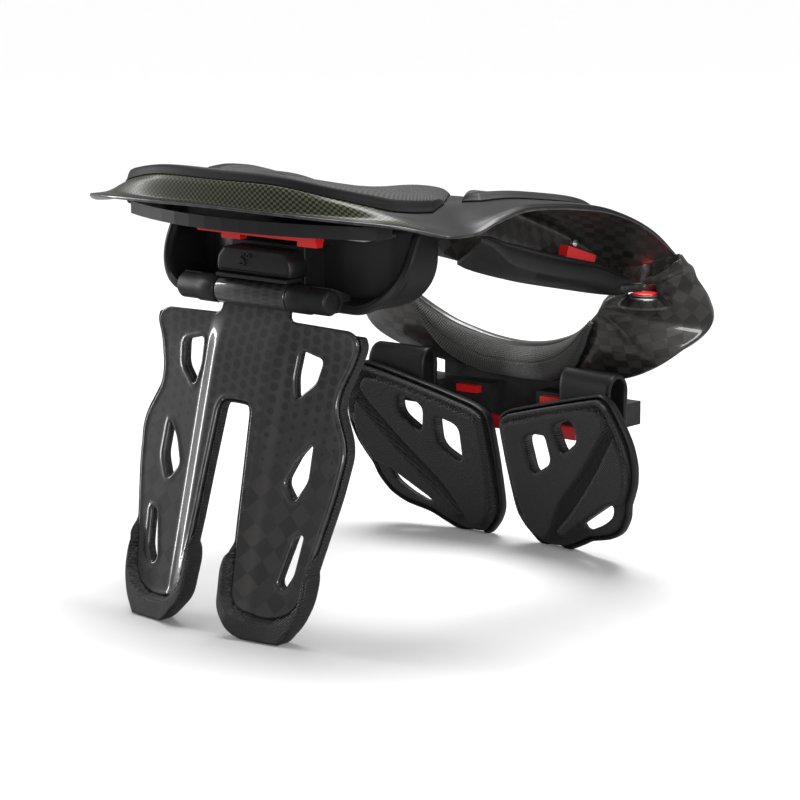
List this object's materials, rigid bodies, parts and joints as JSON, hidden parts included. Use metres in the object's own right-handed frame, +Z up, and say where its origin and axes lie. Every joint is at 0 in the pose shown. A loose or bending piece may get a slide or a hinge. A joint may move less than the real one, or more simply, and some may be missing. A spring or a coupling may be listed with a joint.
{
  "type": "motocross neck brace",
  "caption": "Neck brace worn on the shoulders: carbon ring with neck pads, forked back strut on a hinge, chest paddles on sprung straps, latch and hinge that open the ring.",
  "frame": {"origin": "centre of the outline on the floor, when the brace stands on its two strut feet and two paddle feet", "axes": "+Z up; +Y the way the wearer faces; +X the wearer's right"},
  "size_m": [0.3144, 0.335, 0.2847],
  "materials": {
    "carbon": "clear-coated carbon weave",
    "plastic": "satin",
    "mesh_pad": "ribbed mesh",
    "foam": "moulded, matte",
    "red_plastic": "satin",
    "steel": "brushed"
  },
  "bodies": {
    "rear_half": {"rear_shell": "carbon", "rear_pad": "mesh_pad", "mount_plate": "plastic", "spring_plate": "steel", "bracket_lock": "red_plastic", "strut_bracket": "plastic", "angle_key": "plastic", "shoulder_arm_right": "plastic", "shoulder_arm_left": "plastic", "side_pad_right": "mesh_pad", "side_pad_left": "mesh_pad", "size_rail_right": "plastic", "size_rail_left": "plastic", "size_lock_right": "red_plastic", "size_lock_left": "red_plastic", "size_ball_right": "steel", "size_ball_left": "steel"},
    "rear_strut": {"strut_plate": "carbon", "strut_pad": "foam", "strut_pin": "steel"},
    "front_half": {"front_shell": "carbon", "front_pad": "mesh_pad", "latch_housing": "plastic", "hinge_housing": "plastic", "hinge_pin": "steel", "front_rail": "plastic", "slider_right": "plastic", "slider_left": "plastic", "rail_bar_right": "red_plastic", "rail_bar_left": "red_plastic", "rail_lock_right": "red_plastic", "rail_lock_left": "red_plastic", "paddle_carrier_right": "plastic", "paddle_carrier_left": "plastic", "paddle_pad_right": "foam", "paddle_pad_left": "foam"},
    "button": {"release_button": "red_plastic"}
  },
  "joints": [
    {"name": "ring_hinge", "type": "hinge", "parent": "rear_half", "child": "front_half", "pos_m": [-0.12, 0.13338, 0.19], "axis": [0, 0, 1], "range_deg": [0, 50]},
    {"name": "strut_hinge", "type": "hinge", "parent": "rear_half", "child": "rear_strut", "pos_m": [0, -0.11562, 0.206], "axis": [1, 0, 0], "range_deg": [0, 40]},
    {"name": "button_slide", "type": "slide", "parent": "front_half", "child": "button", "axis": [0, 0, -1], "range_m": [0, 0.0025], "stiffness_N_per_m": 400}
  ]
}
